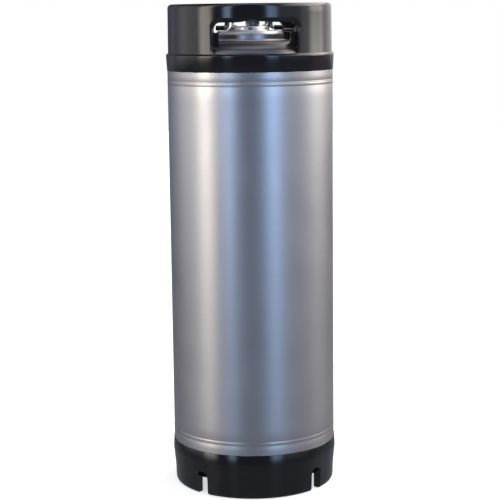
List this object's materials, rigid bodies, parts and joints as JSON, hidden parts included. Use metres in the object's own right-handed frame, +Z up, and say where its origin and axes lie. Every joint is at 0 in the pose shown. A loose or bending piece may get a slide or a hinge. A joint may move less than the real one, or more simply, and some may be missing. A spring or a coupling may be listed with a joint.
{
  "type": "beer keg",
  "caption": "Slim steel drinks keg with rubber handle ring and boot, oval clamped lid with bail and relief valve, and two valved posts.",
  "frame": {"origin": "on the floor, under the middle of the tank, where the boot stands", "axes": "+Z up along the tank, -Y out of the front hand hold, +X towards the liquid post"},
  "size_m": [0.2192, 0.2192, 0.635],
  "materials": {
    "stainless_steel": "satin",
    "polished_steel": "polished",
    "spring_steel": "drawn wire",
    "black_rubber": "semi-gloss moulded",
    "seal_rubber": "matte"
  },
  "bodies": {
    "tank": {"tank_shell": "stainless_steel", "top_head": "stainless_steel", "bottom_head": "stainless_steel", "hatch_ring": "stainless_steel", "top_rubber": "black_rubber", "bottom_rubber": "black_rubber", "gas_spud": "stainless_steel", "gas_post": "polished_steel", "gas_post_oring": "seal_rubber", "gas_dip_tube": "stainless_steel", "gas_dip_tube_oring": "seal_rubber", "gas_poppet_spring": "spring_steel", "liquid_spud": "stainless_steel", "liquid_post": "polished_steel", "liquid_post_oring": "seal_rubber", "liquid_dip_tube": "stainless_steel", "liquid_dip_tube_oring": "seal_rubber", "liquid_poppet_spring": "spring_steel"},
    "lid": {"lid": "stainless_steel", "lid_oring": "seal_rubber", "bail_lug_left": "stainless_steel", "bail_lug_right": "stainless_steel", "relief_valve_body": "polished_steel", "relief_valve_nut": "polished_steel", "relief_valve_gasket": "seal_rubber", "relief_valve_spring": "spring_steel"},
    "bail": {"bail": "stainless_steel", "bail_foot_left": "black_rubber", "bail_foot_right": "black_rubber"},
    "relief_stem": {"relief_valve_stem": "polished_steel", "relief_valve_seal": "seal_rubber"},
    "relief_ring": {"relief_valve_pull_ring": "polished_steel"},
    "gas_poppet": {"gas_poppet": "polished_steel", "gas_poppet_seal": "seal_rubber"},
    "liquid_poppet": {"liquid_poppet": "polished_steel", "liquid_poppet_seal": "seal_rubber"}
  },
  "joints": [
    {"name": "lid_drop", "type": "slide", "parent": "tank", "child": "lid", "axis": [0, 0, 1], "range_m": [-0.0055, 0]},
    {"name": "bail_swing", "type": "hinge", "parent": "lid", "child": "bail", "pos_m": [0, 0, 0.6145], "axis": [1, 0, 0], "range_deg": [0, 100]},
    {"name": "relief_lift", "type": "slide", "parent": "lid", "child": "relief_stem", "axis": [0, 0, 1], "range_m": [0, 0.003], "stiffness_N_per_m": 500, "springref_m": -0.004, "deforming": ["relief_valve_spring"]},
    {"name": "relief_ring_swing", "type": "hinge", "parent": "relief_stem", "child": "relief_ring", "pos_m": [0.004, 0, 0.6268], "axis": [0, -1, 0], "range_deg": [0, 204]},
    {"name": "gas_poppet_press", "type": "slide", "parent": "tank", "child": "gas_poppet", "axis": [0, 0, -1], "range_m": [0, 0.004], "stiffness_N_per_m": 400, "springref_m": -0.004, "deforming": ["gas_poppet_spring"]},
    {"name": "liquid_poppet_press", "type": "slide", "parent": "tank", "child": "liquid_poppet", "axis": [0, 0, -1], "range_m": [0, 0.004], "stiffness_N_per_m": 400, "springref_m": -0.004, "deforming": ["liquid_poppet_spring"]}
  ],
  "couplings": [
    {"joint": "lid_drop", "follows": "bail_swing", "m_per_rad": -0.003}
  ]
}
